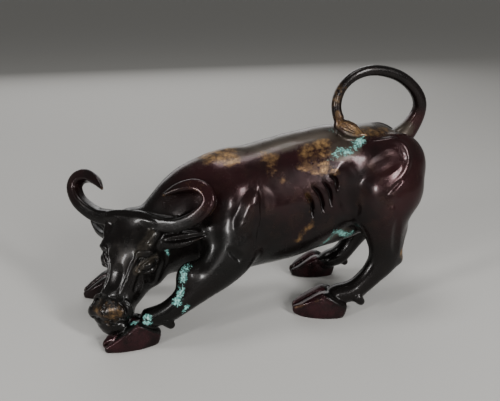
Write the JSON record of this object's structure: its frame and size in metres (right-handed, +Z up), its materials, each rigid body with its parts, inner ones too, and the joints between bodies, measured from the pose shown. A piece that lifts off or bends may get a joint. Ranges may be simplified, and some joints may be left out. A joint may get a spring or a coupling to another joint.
{
  "type": "bull sculpture",
  "caption": "Small cast bronze bull for a table or shelf, crouched with its head down and turned to its left, haunches raised and tail curled over its rump.",
  "frame": {"origin": "on the ground, under the middle of the sculpture's bounding box", "axes": "+Z up, +X from the head towards the rump, so that the bull faces -X and its left side faces -Y"},
  "size_m": [0.2798, 0.104, 0.1933],
  "materials": {
    "bronze": "bronze with a glossy dark brown patina, rubbed to gold on the back and muzzle, with green verdigris at the loin, groin, throat and near fore hoof"
  },
  "bodies": {
    "root": {"bull": "bronze"}
  },
  "joints": []
}
